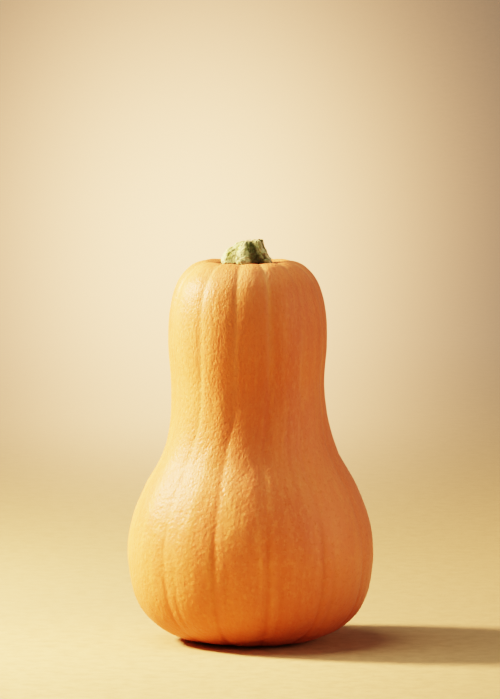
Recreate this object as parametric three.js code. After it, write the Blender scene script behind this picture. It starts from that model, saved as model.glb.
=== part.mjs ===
// Butternut squash standing on its blossom end: the fruit, which grew as one solid piece, and the
// dry stub of its stem. Millimetres, +Z up, -Y to the front. The origin is under the middle of the
// bulb, on the surface that the squash stands on.
import * as THREE from 'three';

// Driving dimensions of the fruit
const BULB_RADIUS = 64;
const BULB_HEIGHT = 47;       // height of the widest section
const WAIST_RADIUS = 39.9;
const WAIST_HEIGHT = 133;
const SHOULDER_RADIUS = 41.2;
const SHOULDER_HEIGHT = 154;
const RIM_RADIUS = 23.5;      // ring of lobes around the hollow that holds the stem
const RIM_HEIGHT = 197.9;
const SEAT_RADIUS = 15;       // flat floor of that hollow
const SEAT_HEIGHT = 196;
const REST_RADIUS = 20;       // edge of the flat that the squash rests on
const SCAR_RADIUS = 9;        // blossom scar, a shallow dish in the middle of that flat
const SCAR_DEPTH = 1.6;

// Shallow grooves, as angles in degrees from the front towards the right on the neck. On the bulb
// they all lie LEAN_TURN degrees further round.
const GROOVES = [-37, -9.5, 16, 44, 74, 108, 143, 178, 213, 250, 288];
const NECK_GROOVE_DEPTH = 0.6;
const BULB_GROOVE_DEPTH = 0.95;
const SHOULDER_GROOVE_DEPTH = 0.8;
const LEAN_TURN = -8;

// The neck grew a little off the bulb's axis, to the left and to the back.
const NECK_SHIFT = new THREE.Vector2(-1.6, 1.8);

// Driving dimensions of the stem
const STEM_GAP = 0.3;         // clearance between the stem and its seat
const STEM_HEIGHT = 12.4;
const STEM_BASE_RADIUS = 14.2;
const STEM_TOP_RADIUS = 7;
const STEM_TOP_SHIFT = new THREE.Vector2(1.8, 0.4);
const STEM_SWELL = 1.3;       // the stem is that much fuller half-way up on its left side
const RIDGES = [-10, 66, 137, 212, 287];   // ridges at the foot, in degrees from the front
const RIDGE_HEIGHT = 1.6;
const RIDGE_TWIST = -25;      // and how far they turn on the way up

// Rows of points along each curve of the two outlines, and points around
const BODY_ROWS = [3, 2, 42, 2];
const BODY_SIDES = 80;
const STEM_ROWS = [2, 12, 2];
const STEM_SIDES = 50;

const smooth = THREE.MathUtils.smoothstep;

// How far an angle lies across its gap between two neighbouring marks, from 0 to 1.
function placeBetween(marks, angle) {
  const turn = THREE.MathUtils.euclideanModulo(angle - marks[0], 360) + marks[0];
  const next = marks.findIndex((mark) => mark > turn);
  const start = next < 0 ? marks.at(-1) : marks[next - 1];
  const end = next < 0 ? marks[0] + 360 : marks[next];
  return (turn - start) / (end - start);
}

// Stations along an outline, with its direction at each. The corners between its curves are kept.
function stationsAlong(outline, rows) {
  const stations = [];
  outline.curves.forEach((curve, index) => {
    for (let row = index === 0 ? 0 : 1; row <= rows[index]; row += 1) {
      const along = row / rows[index];
      stations.push({ spot: curve.getPointAt(along), slope: curve.getTangentAt(along) });
    }
  });
  return stations;
}

// A closed body from rings of points around the Z axis. The first and last rings are single points.
// ringPoint(station, angle) gives a point, with the angle in degrees from the front to the right.
function ringedSolid(stations, sides, ringPoint) {
  const positions = [];
  stations.forEach((station, row) => {
    const count = row === 0 || row === stations.length - 1 ? 1 : sides;
    for (let side = 0; side < count; side += 1) {
      positions.push(...ringPoint(station, (360 * side) / sides).toArray());
    }
  });

  const at = (row, side) => 1 + (row - 1) * sides + (side % sides);
  const last = positions.length / 3 - 1;
  const topRow = stations.length - 2;
  const triangles = [];
  for (let side = 0; side < sides; side += 1) {
    triangles.push(0, at(1, side + 1), at(1, side));
    triangles.push(last, at(topRow, side), at(topRow, side + 1));
    for (let row = 1; row < topRow; row += 1) {
      triangles.push(at(row, side), at(row, side + 1), at(row + 1, side + 1));
      triangles.push(at(row, side), at(row + 1, side + 1), at(row + 1, side));
    }
  }
  const geometry = new THREE.BufferGeometry();
  geometry.setAttribute('position', new THREE.Float32BufferAttribute(positions, 3));
  geometry.setIndex(triangles);
  geometry.computeVertexNormals();
  return geometry;
}

// The point at a distance from the axis, at an angle from the front towards the right.
function around(radius, angle, height, shift) {
  const turn = THREE.MathUtils.degToRad(angle - 90);
  return new THREE.Vector3(
    radius * Math.cos(turn) + shift.x,
    radius * Math.sin(turn) + shift.y,
    height,
  );
}

// The fruit's half section, from the scar up the outside to the seat of the stem.
function bodyOutline() {
  const point = (radius, height) => new THREE.Vector2(radius, height);
  return new THREE.Path()
    .moveTo(0, SCAR_DEPTH)
    .splineThru([point(4.5, SCAR_DEPTH * 0.9), point(SCAR_RADIUS, 0)])
    .lineTo(REST_RADIUS, 0)
    .splineThru([
      point(31.5, 1.1),
      point(42, 4.4),
      point(50.5, 9.6),
      point(57.6, 17.6),
      point(62.2, 29.5),
      point(BULB_RADIUS, BULB_HEIGHT),
      point(61.6, 63.5),
      point(54.8, 81),
      point(46, 97),
      point(41.3, 113),
      point(WAIST_RADIUS, WAIST_HEIGHT),
      point(SHOULDER_RADIUS, SHOULDER_HEIGHT),
      point(40.5, 172),
      point(36.8, 186.4),
      point(30.2, 194.9),
      point(RIM_RADIUS, RIM_HEIGHT),
      point(18.6, 197.3),
      point(SEAT_RADIUS, SEAT_HEIGHT),
    ])
    .lineTo(0, SEAT_HEIGHT);
}

// Groove depth at a point of the outline. The grooves run out before the flat that the squash
// rests on and before the stem's seat.
function grooveDepth(spot) {
  const onBulb = 1 - smooth(spot.y, 85, 125);
  const onShoulder = smooth(spot.y, 150, 190);
  const upright = THREE.MathUtils.lerp(NECK_GROOVE_DEPTH, BULB_GROOVE_DEPTH, onBulb);
  const depth = THREE.MathUtils.lerp(upright, SHOULDER_GROOVE_DEPTH, onShoulder);
  const end = spot.y > WAIST_HEIGHT ? SEAT_RADIUS : REST_RADIUS;
  const run = spot.y > WAIST_HEIGHT ? 8 : 24;
  return depth * smooth(spot.x, end, end + run);
}

function makeFruit() {
  const ringPoint = ({ spot, slope }, angle) => {
    const lean = LEAN_TURN * (1 - smooth(spot.y, 95, 130));
    const lobe = Math.sin(Math.PI * placeBetween(GROOVES, angle - lean)) ** 0.9;
    const inset = grooveDepth(spot) * (1 - lobe);
    const shift = NECK_SHIFT.clone().multiplyScalar(smooth(spot.y, 88, 138));
    return around(spot.x - inset * slope.y, angle, spot.y + inset * slope.x, shift);
  };
  const skin = new THREE.MeshStandardMaterial({ color: 0xd8803a, roughness: 0.45, metalness: 0 });
  const stations = stationsAlong(bodyOutline(), BODY_ROWS);
  const fruit = new THREE.Mesh(ringedSolid(stations, BODY_SIDES, ringPoint), skin);
  fruit.name = 'fruit';
  return fruit;
}

// The stem's half section, from the middle of its foot out over the flare and up to the dry top.
function stemOutline() {
  const point = (radius, height) => new THREE.Vector2(radius, height);
  return new THREE.Path()
    .moveTo(0, 0)
    .lineTo(STEM_BASE_RADIUS - 1.6, 0)
    .splineThru([
      point(STEM_BASE_RADIUS, 1.6),
      point(STEM_BASE_RADIUS - 0.6, 3.4),
      point(11.8, 5.8),
      point(9.4, 8.5),
      point(STEM_TOP_RADIUS, STEM_HEIGHT - 0.8),
      point(STEM_TOP_RADIUS - 1, STEM_HEIGHT),
    ])
    .lineTo(0, STEM_HEIGHT - 0.5);
}

function makeStem() {
  const ringPoint = ({ spot }, angle) => {
    const height = spot.y / STEM_HEIGHT;
    const outward = smooth(spot.x, 0, STEM_TOP_RADIUS);
    const ridge = Math.cos(Math.PI * placeBetween(RIDGES, angle - RIDGE_TWIST * height)) ** 2;
    const valley = RIDGE_HEIGHT * (1 - ridge) * smooth(height, -0.4, 0.5);
    const toLeft = -Math.sin(THREE.MathUtils.degToRad(angle));
    const swell = STEM_SWELL * Math.sin(Math.PI * height) * toLeft;
    const radius = spot.x + outward * (swell - valley);
    const shift = STEM_TOP_SHIFT.clone().multiplyScalar(height);
    return around(radius, angle, spot.y, shift);
  };
  const bark = new THREE.MeshStandardMaterial({ color: 0xa6aa78, roughness: 0.85, metalness: 0 });
  const stations = stationsAlong(stemOutline(), STEM_ROWS);
  const stem = new THREE.Mesh(ringedSolid(stations, STEM_SIDES, ringPoint), bark);
  stem.name = 'stem';
  stem.position.set(NECK_SHIFT.x, NECK_SHIFT.y, SEAT_HEIGHT + STEM_GAP);
  return stem;
}

const squash = new THREE.Group();
squash.add(makeFruit(), makeStem());

export default squash;
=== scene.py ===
"""Butternut squash on a pale studio floor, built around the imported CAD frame. Lengths in the shape
functions are in millimetres, and become metres where the meshes are made."""
import math

import bpy
import numpy as np
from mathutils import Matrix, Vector, noise


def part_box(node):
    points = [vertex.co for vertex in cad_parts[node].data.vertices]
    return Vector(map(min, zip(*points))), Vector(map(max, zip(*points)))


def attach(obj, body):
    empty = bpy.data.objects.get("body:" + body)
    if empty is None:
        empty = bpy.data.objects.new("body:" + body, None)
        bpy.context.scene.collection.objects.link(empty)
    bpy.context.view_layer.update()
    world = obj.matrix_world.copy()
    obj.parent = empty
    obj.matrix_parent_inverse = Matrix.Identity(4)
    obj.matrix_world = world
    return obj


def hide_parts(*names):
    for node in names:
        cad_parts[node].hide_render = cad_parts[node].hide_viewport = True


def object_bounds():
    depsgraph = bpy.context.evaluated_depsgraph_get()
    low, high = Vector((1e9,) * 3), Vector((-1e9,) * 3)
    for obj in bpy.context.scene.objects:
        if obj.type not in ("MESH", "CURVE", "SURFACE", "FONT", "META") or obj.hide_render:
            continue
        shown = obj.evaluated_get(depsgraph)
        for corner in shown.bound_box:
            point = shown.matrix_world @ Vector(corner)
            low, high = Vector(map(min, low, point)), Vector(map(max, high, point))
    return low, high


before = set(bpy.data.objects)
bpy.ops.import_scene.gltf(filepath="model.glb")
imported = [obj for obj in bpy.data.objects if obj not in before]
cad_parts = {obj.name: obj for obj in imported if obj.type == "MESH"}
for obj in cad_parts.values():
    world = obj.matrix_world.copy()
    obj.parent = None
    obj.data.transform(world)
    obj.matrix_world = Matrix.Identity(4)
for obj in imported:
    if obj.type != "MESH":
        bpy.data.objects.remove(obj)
cad_low, cad_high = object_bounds()
fruit_low, fruit_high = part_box("fruit")
stem_low, stem_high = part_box("stem")

MM = 0.001

# ---------------------------------------------------------------------------------------------
# Fruit: driving dimensions in millimetres, scaled from the drawn size to the CAD fruit's own box
# ---------------------------------------------------------------------------------------------
FRUIT_HEIGHT = (fruit_high.z - fruit_low.z) / MM
BULB_RADIUS = (fruit_high.x - fruit_low.x) / 2 / MM
DRAWN_RADIUS, DRAWN_HEIGHT = 63.75, 197.8
SCALE_R = BULB_RADIUS / DRAWN_RADIUS
SCALE_Z = FRUIT_HEIGHT / DRAWN_HEIGHT

REST_RADIUS = 20        # edge of the flat that the squash rests on
SCAR_RADIUS = 9         # blossom scar, a shallow dish in the middle of that flat
SCAR_DEPTH = 1.6
SEAT_RADIUS = 15        # flat floor of the hollow that holds the stem
SEAT_HEIGHT = 196
WAIST_HEIGHT = 133
SCAR = [(0, SCAR_DEPTH), (4.5, 0.9 * SCAR_DEPTH), (SCAR_RADIUS, 0)]
SIDE = [(REST_RADIUS, 0), (31.5, 1.1), (42, 4.4), (50.5, 9.6), (57.6, 17.6), (62.2, 29.5), (64, 47),
        (61.6, 63.5), (54.8, 81), (46, 97), (41.3, 113), (39.9, WAIST_HEIGHT), (41.2, 154),
        (40.5, 172), (36.8, 186.4), (30.2, 194.9), (23.5, 197.9), (18.6, 197.3),
        (SEAT_RADIUS, SEAT_HEIGHT)]
NECK_SHIFT = (-1.6, 1.8)      # the neck grew that far off the bulb's axis

# Grooves, in degrees from the front to the right on the neck; the bulb's lie LEAN_TURN further.
GROOVES = np.array([-37, -9.5, 16, 44, 74, 108, 143, 178, 213, 250, 288.0])
LEAN_TURN = -8
NECK_GROOVE, BULB_GROOVE, SHOULDER_GROOVE = 0.6, 0.75, 0.75
CREASE_WIDTH = 1.5      # the fine crease along the bottom of each groove
CREASE_DEPTH = 0.3
SIDE_CREASES = GROOVES + 6.5      # short creases beside the grooves, low on the bulb
SIDE_CREASE_DEPTH = 0.3
# Broad swellings of the skin: angle, height, how far they spread around and along, and how high
SWELLINGS = [(7, 68, 17, 27, 1.9), (-62, 74, 14, 22, 0.7), (48, 40, 20, 26, 0.5),
             (118, 62, 16, 24, 0.9), (196, 70, 15, 24, 0.8), (262, 45, 18, 20, 0.6)]

# Heights of the skin's finer relief: long ridges, broad swell, lumps on the neck and the more that
# they have on the bulb, and pits
RIDGE_RELIEF, SWELL_RELIEF, LUMP_RELIEF, BULB_LUMPS, PIT_RELIEF = 0.17, 0.5, 0.07, 0.13, 0.07

FLOW_RADIUS = 50        # radius of the even cylinder on which the skin's own grain is laid out
FRUIT_SIDES = 384
SCAR_ROWS, FLAT_ROWS, SIDE_ROWS, SEAT_ROWS = 10, 6, 229, 8

# ---------------------------------------------------------------------------------------------
# Stem: driving dimensions in millimetres, scaled from the drawn size to the CAD stem's own box
# ---------------------------------------------------------------------------------------------
STEM_HEIGHT = (stem_high.z - stem_low.z) / MM
DRAWN_FOOT, DRAWN_STEM = 13.8, 12.4
STEM_SCALE = (stem_high.x - stem_low.x) / 2 / MM / DRAWN_FOOT
CUT_RADIUS = 5.9                  # edge of the dry cut on top
STEM_LEAN = (1.8, 0.4)            # how far the top stands off the foot's middle
STEM_SWELL = 1.3                  # the left side is that much fuller half-way up
STEM_SINK = 0.6                   # the foot starts that far below the CAD stem's, in the fruit's seat
RIDGES = np.array([-10, 66, 137, 212, 287.0])
RIDGE_TWIST = -25                 # how far the ridges turn on the way up, in degrees
VALLEY_DEPTH = 2.0
LUMP_HEIGHT, WART_HEIGHT, FIBRE_HEIGHT, CRACK_DEPTH, CORK_HEIGHT = 0.5, 0.42, 0.14, 0.38, 0.35
GRAIN_RADIUS = 8                  # radius of the even cylinder on which the bark's grain is laid out
STEM_SIDES = 220
FOOT_ROWS, FLANK_ROWS, CUT_ROWS = 8, 84, 14

# ---------------------------------------------------------------------------------------------
# Studio: driving dimensions in metres and radians, and the lens in millimetres
# ---------------------------------------------------------------------------------------------
FLAT_RADIUS, BEND_RADIUS, WALL_HEIGHT = 3.4, 1.2, 3.0
BEND_STEPS, STAGE_SIDES = 12, 96
# The backdrop's pool of light spreads out from a point that far in front and that high. Its middle
# and its widths are slopes from that point, across and up.
POOL_FRONT, POOL_LEVEL = 3.0, 0.42
POOL_MIDDLE, POOL_WIDTHS = (-0.0102, -0.0705), (0.0365, 0.0455)
KEY_TURN, KEY_RISE, KEY_DISTANCE = math.radians(191), math.radians(29), 0.73
CAMERA_DISTANCE, CAMERA_PITCH, LENS = 3.012, math.radians(5.13), 299
AIM_ACROSS, AIM_LEVEL = -0.0005, 0.7283     # the second is a share of the squash's height


def smooth(value, start, end):
    """0 at start, 1 at end, and a smooth step between them."""
    t = np.clip((value - start) / (end - start), 0, 1)
    return t * t * (3 - 2 * t)


def mix(a, b, share):
    return a + (b - a) * share


def spline(points, steps):
    """steps + 1 points evenly spaced along a Catmull-Rom curve through the points."""
    p = np.array(points, float)
    last = len(p) - 1
    t = np.linspace(0, last, 200 * last)
    i = np.minimum(t.astype(int), last - 1)
    w = (t - i)[:, None]
    before, here, there, after = p[np.maximum(i - 1, 0)], p[i], p[i + 1], p[np.minimum(i + 2, last)]
    out, into = (there - before) / 2, (after - here) / 2
    fine = (((2 * here - 2 * there + out + into) * w + (3 * there - 3 * here - 2 * out - into)) * w
            + out) * w + here
    length = np.concatenate([[0], np.cumsum(np.linalg.norm(np.diff(fine, axis=0), axis=1))])
    at = np.linspace(0, length[-1], steps + 1)
    return np.stack([np.interp(at, length, fine[:, k]) for k in (0, 1)], axis=1)


def line(start, end, steps):
    return np.linspace(start, end, steps + 1)


def place_between(marks, angle):
    """How far each angle lies across its gap between two neighbouring marks, from 0 to 1."""
    edges = np.append(marks, marks[0] + 360)
    turn = (angle - marks[0]) % 360 + marks[0]
    i = np.clip(np.searchsorted(edges, turn, side="right") - 1, 0, len(marks) - 1)
    return (turn - edges[i]) / (edges[i + 1] - edges[i])


def noise_at(points, scales, octaves=1):
    """Fractal noise of about -1 to 1 at points, with its grain's size along each axis in scales."""
    places = points.reshape(-1, 3) / np.array(scales, float)
    if octaves == 1:
        values = [noise.noise(Vector(p)) for p in places]
    else:
        values = [noise.fractal(Vector(p), 0.9, 2.1, octaves) for p in places]
    return np.array(values).reshape(points.shape[:-1])


def warts_at(points, size):
    """Small round domes of 0 to 1, one in each cell of a scatter of points size apart."""
    places = points.reshape(-1, 3) / size
    nearest = [noise.voronoi(Vector(p))[0][0] for p in places]
    return 1 - smooth(np.array(nearest), 0.1, 0.55).reshape(points.shape[:-1])


def on_cylinder(radius, angle, length):
    """Points of an even cylinder, so that a grain laid out on them keeps its size everywhere."""
    return np.stack([radius * np.cos(np.radians(angle)), radius * np.sin(np.radians(angle)),
                     length + 0 * angle], axis=-1)


def directions(points):
    """The unit direction along each point of an outline."""
    step = np.gradient(points, axis=0)
    return step / np.linalg.norm(step, axis=1)[:, None]


def ringed_mesh(name, rings, layers):
    """A closed mesh from rows of points around Z, whose first and last rows meet at a point, with a
    seamless map of the grid and the given values per point stored as attributes."""
    rows, sides = rings.shape[:2]
    points = np.concatenate([rings[0, :1], rings[1:-1].reshape(-1, 3), rings[-1, :1]])
    grid = 1 + np.arange((rows - 2) * sides).reshape(rows - 2, sides)
    right = np.roll(grid, -1, axis=1)
    quads = np.stack([grid[:-1], right[:-1], right[1:], grid[1:]], axis=-1).reshape(-1, 4)
    last = len(points) - 1
    foot = np.stack([np.zeros(sides, int), right[0], grid[0]], axis=-1)
    head = np.stack([np.full(sides, last), grid[-1], right[-1]], axis=-1)
    mesh = bpy.data.meshes.new(name)
    mesh.from_pydata(points.tolist(), [], quads.tolist() + foot.tolist() + head.tolist())

    u = np.arange(sides)[None] / sides + np.zeros((rows - 3, 1))
    v = np.arange(1, rows - 2)[:, None] / (rows - 1) + np.zeros((1, sides))
    du, dv = 1 / sides, 1 / (rows - 1)
    quad_map = np.stack([u, v, u + du, v, u + du, v + dv, u, v + dv], axis=-1).reshape(-1)
    u = np.arange(sides) / sides
    zero, one = np.zeros(sides), np.ones(sides)
    foot_map = np.stack([u + du / 2, zero, u + du, one * dv, u, one * dv], axis=-1).reshape(-1)
    head_map = np.stack([u + du / 2, one, u, 1 - one * dv, u + du, 1 - one * dv], axis=-1).reshape(-1)
    uv = mesh.uv_layers.new(name="OFBake")
    uv.data.foreach_set("uv", np.concatenate([quad_map, foot_map, head_map]))

    for label, values in layers.items():
        flat = np.concatenate([values[0, :1], values[1:-1].reshape(-1, *values.shape[2:]),
                               values[-1, :1]])
        kind, key = ("FLOAT_VECTOR", "vector") if flat.ndim == 2 else ("FLOAT", "value")
        mesh.attributes.new(label, kind, "POINT").data.foreach_set(key, flat.ravel())
    mesh.shade_smooth()
    mesh.update()
    piece = bpy.data.objects.new(name, mesh)
    bpy.context.scene.collection.objects.link(piece)
    return piece


# ---------------------------------------------------------------------------------------------
# Fruit
# ---------------------------------------------------------------------------------------------
def fruit_outline():
    return np.concatenate([
        spline(SCAR, SCAR_ROWS),
        line((SCAR_RADIUS, 0), (REST_RADIUS, 0), FLAT_ROWS)[1:],
        spline(SIDE, SIDE_ROWS)[1:],
        line((SEAT_RADIUS, SEAT_HEIGHT), (0, SEAT_HEIGHT), SEAT_ROWS)[1:],
    ])


def groove_depth(height):
    on_bulb = 1 - smooth(height, 85, 125)
    upright = mix(NECK_GROOVE, BULB_GROOVE, on_bulb)
    return mix(upright, SHOULDER_GROOVE, smooth(height, 150, 190))


def from_ends(radius, height, top_run, base_run):
    """0 on the seat of the stem and on the flat under the fruit, and 1 at a distance from them."""
    return np.where(height > WAIST_HEIGHT, smooth(radius, SEAT_RADIUS, SEAT_RADIUS + top_run),
                    smooth(radius, REST_RADIUS, REST_RADIUS + base_run))


def fine_creases(radius, angle, marks, width):
    """1 at the bottom of a narrow crease along each mark, and 0 away from it."""
    away = (angle[..., None] - marks + 180) % 360 - 180
    distance = np.radians(np.abs(away)).min(axis=-1) * radius
    return np.exp(-(distance / width) ** 2)


def swellings(radius, height, angle):
    rise = 0
    for middle, level, around, along, size in SWELLINGS:
        aside = np.radians((angle - middle + 180) % 360 - 180) * radius / around
        rise = rise + size * np.exp(-aside ** 2 - ((height - level) / along) ** 2)
    return rise


def scar_relief(radius, flow):
    """The corky skin of the blossom scar, which is cracked outwards from its middle. The seat of the
    stem gets the same relief, but the stem hides it."""
    rough = noise_at(flow * (1.3, 1.3, 0) + radius[..., None] * (0, 0, 0.4), (7, 7, 1), 3)
    return 0.35 * rough * (1 - smooth(radius, 5.5, SCAR_RADIUS + 1)) * smooth(radius, 0, 1.5)


def skin_flow(outline, turned):
    """Coordinates in millimetres that follow the skin's own grain, around the fruit and along it."""
    length = np.cumsum(np.linalg.norm(np.diff(outline, axis=0, prepend=outline[:1]), axis=1))
    return on_cylinder(FLOW_RADIUS, turned, length[:, None])


def skin_creases(radius, height, turned, fading):
    """The depth of the fine creases, and how strongly their painted shade and highlight show. They
    run along the grooves, with short ones beside them low on the bulb."""
    low = smooth(height, 4, 14) * (1 - smooth(height, 30, 62))
    middle = fine_creases(radius, turned, GROOVES, CREASE_WIDTH)
    beside = low * fine_creases(radius, turned, SIDE_CREASES, CREASE_WIDTH)
    depth = CREASE_DEPTH * middle * (0.5 + 0.5 * fading) + SIDE_CREASE_DEPTH * beside * fading
    return depth, fading * (middle + 0.6 * beside)


def skin_grain(height, flow):
    """Faint long ridges, broad swell, lumps that are higher on the bulb, and pits."""
    on_bulb = smooth(height, 20, 60) * (1 - smooth(height, 95, 125))
    return (RIDGE_RELIEF * noise_at(flow, (8.5, 8.5, 42))
            + SWELL_RELIEF * noise_at(flow + 300, (34, 34, 42))
            + (LUMP_RELIEF + BULB_LUMPS * on_bulb) * noise_at(flow + 500, (5.5, 5.5, 10))
            + PIT_RELIEF * noise_at(flow + 700, (2.9, 2.9, 4.2)))


def make_fruit():
    outline = fruit_outline()
    along = directions(outline)
    radius, height = outline[:, :1], outline[:, 1:]
    angle = np.arange(FRUIT_SIDES)[None] * 360 / FRUIT_SIDES
    turned = angle - LEAN_TURN * (1 - smooth(height, 95, 130))
    flow = skin_flow(outline, turned)

    lobe = np.sin(np.pi * place_between(GROOVES, turned))
    fading = smooth(noise_at(flow + 900, (30, 30, 60)), -0.2, 0.4)
    wander = 1 + 0.5 * noise_at(flow + 100, (40, 40, 50))
    crease_depth, crease = skin_creases(radius, height, turned, fading)
    grooves = groove_depth(height) * (1 - lobe) + crease_depth
    run_out = from_ends(radius, height, 13, 24)
    relief = from_ends(radius, height, 14, 14) * skin_grain(height, flow)
    relief = relief - run_out * grooves * wander
    relief = relief + swellings(radius, height, angle) + scar_relief(radius, flow)

    r = (radius + relief * along[:, 1:]) * SCALE_R
    z = np.maximum(height - relief * along[:, :1], 0) * SCALE_Z
    shift = smooth(height, 88, 138)
    turn = np.radians(angle - 90)
    rings = np.stack([r * np.cos(turn) + NECK_SHIFT[0] * shift,
                      r * np.sin(turn) + NECK_SHIFT[1] * shift, z], axis=-1) * MM
    # the crease layer carries the strength of the painted shade and highlight along the creases
    layers = {"flow": flow * MM, "crease": run_out * crease, "up": z / FRUIT_HEIGHT,
              "out": (radius + 0 * angle) / BULB_RADIUS}
    return ringed_mesh("fruit_skin", rings, layers)


# ---------------------------------------------------------------------------------------------
# Stem
# ---------------------------------------------------------------------------------------------
def stem_outline():
    flank = [(12.2, -STEM_SINK), (13.5, 0.2), (14.0, 1.7), (13.3, 3.4), (11.7, 5.8), (9.5, 8.4),
             (7.7, 10.6), (6.8, 11.8), (CUT_RADIUS, 12.3)]
    return np.concatenate([
        line((0, -STEM_SINK), flank[0], FOOT_ROWS),
        spline(flank, FLANK_ROWS)[1:],
        line(flank[-1], (0, 12.0), CUT_ROWS)[1:],
    ])


def stem_surface(radius, height, angle, up, ridge, to_left):
    """How far from the axis each point is, and its place. Five ridges widen into the lobes of the
    foot, with a valley between each two."""
    turn = np.radians(angle - 90)
    flank = smooth(radius, 0, CUT_RADIUS)
    at_foot = 1 - smooth(up, 0.08, 0.38)
    inset = VALLEY_DEPTH * (1 - ridge) * smooth(up, -0.4, 0.5) + 0.7 * (1 - ridge) * at_foot
    body = radius + flank * (STEM_SWELL * np.sin(np.pi * up) * to_left - inset)
    lift = 0.8 * (1 - ridge) * (1 - smooth(up, 0, 0.2)) * smooth(radius, 9, 13)
    tilt = 0.075 * smooth(up, 0.6, 1) * radius * np.cos(turn)
    return body, np.stack([body * np.cos(turn), body * np.sin(turn), height + lift + tilt], axis=-1)


def bark_relief(place, grain, radius, up, cut):
    """Lumps, warts towards the foot, fibres, upright cracks, and the torn cork of the cut. The warts
    and cracks are also given by themselves, for the warts' paler colour and the painted shade in the
    cracks."""
    lumps = noise_at(place + 40, (3.4, 3.4, 3.0), 3)
    warty = smooth(noise_at(place + 80, (5, 5, 4)) + 0.55 - 0.6 * up, -0.1, 0.5)
    warts = warts_at(place, 1.9) * warty
    fibre = noise_at(grain + 20, (1.1, 1.1, 8), 2)
    crack = 1 - smooth(np.abs(noise_at(grain + 60, (2.2, 2.2, 7))), 0, 0.13)
    crack = crack * (1 - cut) * smooth(up, 0.05, 0.3)
    cork = noise_at(place * (1, 1, 0) + 10, (1.6, 1.6, 1), 3)
    bark = LUMP_HEIGHT * lumps + WART_HEIGHT * warts + FIBRE_HEIGHT * fibre - CRACK_DEPTH * crack
    relief = (1 - cut) * bark * smooth(radius, 8, 12.5 - 6 * up) + cut * CORK_HEIGHT * cork
    return relief, warts, crack


def make_stem():
    outline = stem_outline()
    along = directions(outline)
    radius, height = outline[:, :1], outline[:, 1:]
    angle = np.arange(STEM_SIDES)[None] * 360 / STEM_SIDES
    up = np.clip(height / DRAWN_STEM, 0, 1)
    twisted = angle - RIDGE_TWIST * up
    ridge = np.cos(np.pi * place_between(RIDGES, twisted)) ** 2
    to_left = -np.sin(np.radians(angle))
    cut = (1 - smooth(radius, CUT_RADIUS - 0.9, CUT_RADIUS + 0.1)) * (height > 8)

    body, place = stem_surface(radius, height, angle, up, ridge, to_left)
    grain = on_cylinder(GRAIN_RADIUS, twisted, height)
    relief, warts, crack = bark_relief(place, grain, radius, up, cut)

    turn = np.radians(angle - 90)
    r = (body + relief * along[:, 1:]) * STEM_SCALE
    z = (place[..., 2] - relief * along[:, :1]) * STEM_HEIGHT / DRAWN_STEM
    foot = (NECK_SHIFT[0], NECK_SHIFT[1], stem_low.z / MM)
    rings = np.stack([r * np.cos(turn) + foot[0] + STEM_LEAN[0] * up,
                      r * np.sin(turn) + foot[1] + STEM_LEAN[1] * up, z + foot[2]], axis=-1) * MM
    # the valley mask carries painted shade and painted highlight, and is halved on the lit left
    valley = (1 - ridge) * (1 - cut) * (1 - 0.5 * np.maximum(to_left, 0))
    layers = {"bark": place * MM, "grain": grain * MM, "valley": valley, "crack": crack,
              "wart": warts, "cut": cut + 0 * angle, "up": up + 0 * angle}
    return ringed_mesh("stem_bark", rings, layers)


# ---------------------------------------------------------------------------------------------
# Node helpers
# ---------------------------------------------------------------------------------------------
class Nodes:
    """A short way to write a material's nodes: inputs are numbers, colours or other outputs."""

    def __init__(self, name):
        self.material = bpy.data.materials.new(name)
        self.material.use_nodes = True
        self.tree = self.material.node_tree
        self.tree.nodes.clear()

    def set(self, socket, value):
        if isinstance(value, bpy.types.NodeSocket):
            self.tree.links.new(value, socket)
        else:
            socket.default_value = value

    def add(self, kind, inputs=(), out=0, **settings):
        node = self.tree.nodes.new("ShaderNode" + kind)
        for key, value in settings.items():
            setattr(node, key, value)
        for key, value in dict(inputs).items():
            self.set(node.inputs[key], value)
        return node.outputs[out] if node.outputs else node

    def layer(self, name, out="Fac"):
        return self.add("Attribute", out=out, attribute_name=name)

    def stretch(self, vector, scale):
        return self.add("Mapping", {"Vector": vector, "Scale": scale})

    def noise(self, vector, scale, detail=2.0, roughness=0.5):
        return self.add("TexNoise", {"Vector": vector, "Scale": scale, "Detail": detail,
                                     "Roughness": roughness})

    def ramp(self, value, low, high, to_low=0.0, to_high=1.0, kind="LINEAR"):
        return self.add("MapRange", {"Value": value, "From Min": low, "From Max": high,
                                     "To Min": to_low, "To Max": to_high},
                        interpolation_type=kind)

    def math(self, operation, a, b=0.0):
        return self.add("Math", {0: a, 1: b}, operation=operation)

    def blend(self, share, a, b):
        return self.add("Mix", {0: share, 6: a, 7: b}, out=2, data_type="RGBA")

    def bump(self, height, distance, strength=1.0):
        return self.add("Bump", {"Strength": strength, "Distance": distance, "Height": height})

    def axes(self, vector):
        """The x, y and z of a vector."""
        return [self.add("SeparateXYZ", {0: vector}, out=axis) for axis in range(3)]

    def finish(self, inputs):
        shader = self.add("BsdfPrincipled", inputs)
        self.add("OutputMaterial", {"Surface": shader})
        return self.material


def colour(r, g, b):
    return (r, g, b, 1.0)


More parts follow.
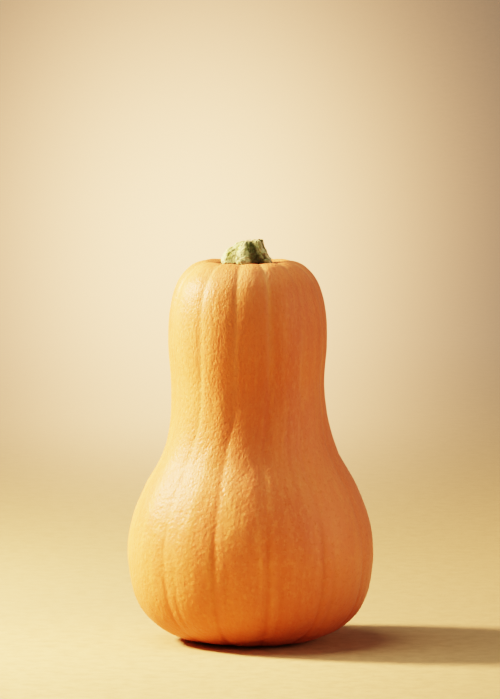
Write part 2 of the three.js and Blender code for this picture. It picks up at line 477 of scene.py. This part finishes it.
# ---------------------------------------------------------------------------------------------
# Materials
# ---------------------------------------------------------------------------------------------
def skin_tone(n, flow, up, mottle):
    """Orange in broad patches, with pale streaks and mottling and darker freckles, painted shade and
    highlight along the creases, and painted shade at the base and on the lobe at the front of the
    neck.
    """
    streaks = n.noise(n.stretch(flow, (1, 1, 0.12)), 240, 4, 0.6)
    broad = n.noise(n.stretch(flow, (1, 1, 0.4)), 30, 2, 0.5)
    freckles = n.noise(flow, 620, 3, 0.6)
    base = n.blend(n.ramp(broad, 0.35, 0.65), colour(0.63, 0.195, 0.082), colour(0.77, 0.262, 0.105))
    base = n.blend(n.ramp(streaks, 0.45, 0.75, 0, 0.5), base, colour(0.80, 0.33, 0.125))
    base = n.blend(n.ramp(mottle, 0.5, 0.75, 0, 0.45), base, colour(0.82, 0.40, 0.16))
    base = n.blend(n.ramp(freckles, 0.56, 0.70, 0, 0.4), base, colour(0.50, 0.13, 0.035))

    # painted shade darkens the creases on the bulb, and a painted highlight makes them pale on the
    # neck
    crease_shade_and_highlight = n.blend(n.ramp(up, 0.45, 0.6), colour(0.42, 0.10, 0.025), colour(0.86, 0.46, 0.20))
    base = n.blend(n.math("MULTIPLY", n.layer("crease"), 0.32), base, crease_shade_and_highlight)

    # painted shade makes the skin a darker orange at the base and on the lobe at the front of the
    # neck
    in_front = n.ramp(n.axes(flow)[0], 0.0433, 0.0495, 0, 0.4)
    on_neck = n.math("MULTIPLY", n.ramp(up, 0.42, 0.55), n.ramp(up, 0.97, 0.86))
    front_and_base_shade = n.math("MAXIMUM", n.math("MULTIPLY", in_front, on_neck), n.ramp(up, 0.24, 0.05, 0, 0.6))
    return n.blend(front_and_base_shade, base, colour(0.42, 0.11, 0.042))


def skin_material():
    n = Nodes("squash_skin")
    flow = n.layer("flow", "Vector")
    up = n.layer("up")
    out = n.layer("out")
    mottle = n.noise(n.stretch(flow, (1, 1, 0.6)), 520, 4, 0.7)
    base = skin_tone(n, flow, up, mottle)

    # right beside the stem the skin is darker brown, partly its own tinge and partly painted shade,
    # and it is corky at the blossom scar
    stem_tinge_and_shade = n.math("MULTIPLY", n.ramp(out, 0.29, 0.24), n.ramp(up, 0.9, 0.95))
    base = n.blend(n.math("MULTIPLY", stem_tinge_and_shade, 0.85), base, colour(0.14, 0.06, 0.02))
    edge = n.math("ADD", out, n.ramp(n.noise(flow, 150, 3, 0.6), 0, 1, -0.03, 0.03))
    scar = n.math("MULTIPLY", n.ramp(edge, 0.135, 0.10), n.ramp(up, 0.04, 0.02))
    cork = n.blend(n.ramp(n.noise(flow, 700, 4, 0.7), 0.35, 0.65), colour(0.20, 0.12, 0.06),
                   colour(0.42, 0.30, 0.17))
    base = n.blend(scar, base, cork)

    # soft dimples like orange peel, with finer pores between them
    cells = n.add("TexVoronoi", {"Vector": n.stretch(flow, (1, 1, 0.75)), "Scale": 500.0})
    dimples = n.ramp(cells, 0.1, 0.6, kind="SMOOTHSTEP")
    pores = n.noise(n.stretch(flow, (1, 1, 0.8)), 620, 4, 0.65)
    relief = n.math("ADD", n.math("MULTIPLY", dimples, 0.3), pores)
    rough = n.math("ADD", n.ramp(mottle, 0.3, 0.75, 0.34, 0.48), n.math("MULTIPLY", scar, 0.3))
    return n.finish({"Base Color": base, "Roughness": rough, "Normal": n.bump(relief, 0.00034),
                     "Specular IOR Level": 0.15})


def bark_tone(n, specks, fibres, patches):
    """Pale green bark with paler warts, a painted highlight on the ridges, strongest on the left, and
    painted shade in the valleys, low in the valleys, in the cracks and along the bottom of the foot.
    """
    up = n.layer("up")
    valley = n.layer("valley")
    pale, green = colour(0.46, 0.51, 0.26), colour(0.15, 0.19, 0.042)
    dark = colour(0.034, 0.036, 0.002)
    base = n.blend(n.ramp(patches, 0.44, 0.60), pale, green)
    base = n.blend(n.ramp(fibres, 0.45, 0.70, 0, 0.6), base, colour(0.22, 0.27, 0.09))
    base = n.blend(n.ramp(specks, 0.52, 0.66, 0, 0.8), base, colour(0.07, 0.09, 0.012))
    base = n.blend(n.math("MULTIPLY", n.layer("wart"), 0.6), base, pale)
    # painted highlight: paler ridges, reaching further on the lit left
    base = n.blend(n.ramp(valley, 0.25, 0.0, 0, 0.5), base, colour(0.60, 0.62, 0.36))
    # painted shade in the valleys, over the bark's own darker green
    base = n.blend(n.ramp(valley, 0.35, 0.9, 0, 0.85), base, dark)
    # more painted shade low in the valleys, towards the foot
    low_valley_shade = n.math("MULTIPLY", n.ramp(valley, 0.3, 0.75), n.ramp(up, 0.65, 0.25, 0, 0.8))
    base = n.blend(low_valley_shade, base, dark)
    # painted shade in the cracks
    base = n.blend(n.math("MULTIPLY", n.layer("crack"), 0.85), base, dark)
    # painted shade along the bottom of the foot, where it meets the fruit
    return n.blend(n.ramp(up, 0.10, 0.0, 0, 0.8), base, dark)


def bark_material():
    n = Nodes("stem_bark")
    bark = n.layer("bark", "Vector")
    grain = n.layer("grain", "Vector")
    patches = n.noise(bark, 420, 3, 0.6)
    specks = n.noise(bark, 1500, 3, 0.65)
    fibres = n.noise(n.stretch(grain, (1, 1, 0.12)), 1100, 3, 0.6)
    base = bark_tone(n, specks, fibres, patches)
    cork = n.blend(n.ramp(specks, 0.35, 0.65), colour(0.30, 0.25, 0.15), colour(0.52, 0.46, 0.31))
    base = n.blend(n.layer("cut"), base, cork)
    relief = n.math("ADD", n.math("MULTIPLY", specks, 0.7), n.math("MULTIPLY", fibres, 0.5))
    rough = n.ramp(patches, 0.3, 0.7, 0.62, 0.82)
    return n.finish({"Base Color": base, "Roughness": rough, "Normal": n.bump(relief, 0.00035),
                     "Specular IOR Level": 0.3})


def squared(n, value, middle, width):
    """((value - middle) / width) squared."""
    share = n.math("DIVIDE", n.math("SUBTRACT", value, middle), width)
    return n.math("POWER", n.math("ABSOLUTE", share), 2.0)


def backdrop_glow(n, place):
    """The backdrop's own soft light: none close to the squash, dim further out and a little paler
    to the sides, with one round pool of light behind the squash."""
    x, y, z = n.axes(place)
    depth = n.math("MAXIMUM", n.math("ADD", y, POOL_FRONT), 0.5)
    across = n.math("DIVIDE", x, depth)
    rise = n.math("DIVIDE", n.math("SUBTRACT", z, POOL_LEVEL), depth)
    away = n.math("ADD", squared(n, across, POOL_MIDDLE[0], POOL_WIDTHS[0]),
                  squared(n, rise, POOL_MIDDLE[1], POOL_WIDTHS[1]))
    pool = n.math("EXPONENT", n.math("MULTIPLY", away, -1.0))
    behind = n.ramp(y, 0.2, 1.2, kind="SMOOTHSTEP")
    far = n.ramp(n.add("VectorMath", {0: place}, out=1, operation="LENGTH"), 0.4, 1.8)
    aside = n.ramp(n.math("ABSOLUTE", x), 0.5, 1.8)
    dim = n.blend(aside, colour(0.10, 0.085, 0.068), colour(0.20, 0.17, 0.135))
    around = n.blend(far, colour(0, 0, 0), dim)
    return n.blend(n.math("MULTIPLY", pool, behind), around, colour(2.68, 1.38, 0.65))


def floor_material():
    """Pale sand-coloured paper with a fine grain, with a painted pool of light just in front of the
    squash so that it is darker behind, painted shade to the right, darker far in front, and the
    backdrop's painted glow.
    """
    n = Nodes("studio_floor")
    place = n.add("TexCoord", out="Object")
    x, y, _ = n.axes(place)
    grain = n.noise(place, 110, 5, 0.7)
    # painted pool of light: the floor is paler just in front of the squash and darker behind it
    front = n.ramp(y, 0.16, -0.12, kind="SMOOTHSTEP")
    tone = n.blend(front, colour(0.39, 0.29, 0.165), colour(0.57, 0.405, 0.215))
    # painted shade: darker to the right
    tone = n.blend(n.ramp(x, 0.02, 0.14, 0, 0.55), tone, colour(0.36, 0.25, 0.14))
    tone = n.blend(n.ramp(y, -0.28, -0.7, 0, 0.4), tone, colour(0.22, 0.155, 0.085))
    tone = n.blend(n.ramp(grain, 0.4, 0.7, 0, 0.4), tone, colour(0.27, 0.20, 0.11))
    return n.finish({"Base Color": tone, "Roughness": 0.9, "Specular IOR Level": 0.1,
                     "Normal": n.bump(grain, 0.0006, 0.5),
                     "Emission Color": backdrop_glow(n, place), "Emission Strength": 1.0})


# ---------------------------------------------------------------------------------------------
# Stage, light and camera
# ---------------------------------------------------------------------------------------------
def make_stage():
    """A seamless round bowl: a flat floor that curves up into a wall all round."""
    flat_rings = (0.0, 0.15, 0.3, 0.45, 0.6, 0.8, 1.0, 1.3, 1.7, 2.2, 2.8)
    profile = [(r, 0.0) for r in flat_rings]
    for t in np.linspace(0, math.pi / 2, BEND_STEPS + 1):
        profile.append((FLAT_RADIUS + BEND_RADIUS * math.sin(t), BEND_RADIUS * (1 - math.cos(t))))
    profile.append((FLAT_RADIUS + BEND_RADIUS, WALL_HEIGHT))
    points, faces = [], []
    for r, z in profile:
        for side in range(STAGE_SIDES):
            t = 2 * math.pi * side / STAGE_SIDES
            points.append((r * math.cos(t), r * math.sin(t), z))
    for row in range(len(profile) - 1):
        for side in range(STAGE_SIDES):
            a = row * STAGE_SIDES + side
            b = row * STAGE_SIDES + (side + 1) % STAGE_SIDES
            up_a, up_b = a + STAGE_SIDES, b + STAGE_SIDES
            faces.append((a, b, up_b, up_a) if row else (b, up_b, up_a))
    mesh = bpy.data.meshes.new("studio_floor")
    mesh.from_pydata(points, [], faces)
    mesh.shade_smooth()
    floor = bpy.data.objects.new("studio_floor", mesh)
    bpy.context.scene.collection.objects.link(floor)
    mesh.materials.append(floor_material())


def add_area(name, place, target, size, power, tint):
    light = bpy.data.lights.new(name, "AREA")
    light.shape = "DISK"
    light.size = size
    light.energy = power
    light.color = tint
    lamp = bpy.data.objects.new(name, light)
    lamp.location = place
    lamp.rotation_euler = (Vector(target) - Vector(place)).to_track_quat("-Z", "Y").to_euler()
    lamp.visible_camera = False
    bpy.context.scene.collection.objects.link(lamp)


def make_lights():
    """A small warm key low on the left and a little behind, a soft fill on the right, a soft light
    above on the left, and a faint blue sky."""
    centre = Vector((0, 0, 0.5 * cad_high.z))
    level = KEY_DISTANCE * math.cos(KEY_RISE)
    key = Vector((level * math.cos(KEY_TURN), -level * math.sin(KEY_TURN),
                  KEY_DISTANCE * math.sin(KEY_RISE)))
    add_area("key", centre + key, centre, 0.15, 35, (1.0, 0.66, 0.39))
    add_area("fill", (1.35, -0.25, 0.4), centre, 1.0, 8.3, (1.0, 0.57, 0.51))
    add_area("top", (-0.5, -0.05, 1.4), centre, 1.0, 17, (1.0, 0.87, 0.62))
    world = bpy.data.worlds.new("studio")
    world.use_nodes = True
    sky = world.node_tree.nodes["Background"]
    sky.inputs["Color"].default_value = colour(0.45, 0.70, 1.0)
    sky.inputs["Strength"].default_value = 0.12
    bpy.context.scene.world = world


def make_camera():
    height = cad_high.z - cad_low.z
    aim = Vector((AIM_ACROSS, 0, AIM_LEVEL * height))
    data = bpy.data.cameras.new("camera")
    data.lens = LENS
    data.sensor_width = 36
    data.clip_end = 50
    camera = bpy.data.objects.new("camera", data)
    back = CAMERA_DISTANCE * Vector((0, -math.cos(CAMERA_PITCH), math.sin(CAMERA_PITCH)))
    camera.location = aim + back
    camera.rotation_euler = (math.pi / 2 - CAMERA_PITCH, 0, 0)
    bpy.context.scene.collection.objects.link(camera)
    bpy.context.scene.camera = camera


make_camera()
make_stage()
make_lights()
fruit = make_fruit()
fruit.data.materials.append(skin_material())
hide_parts("fruit")
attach(fruit, "root")
stem = make_stem()
stem.data.materials.append(bark_material())
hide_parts("stem")
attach(stem, "root")

view = bpy.context.scene.view_settings
view.view_transform = "Filmic"
view.look = "High Contrast"
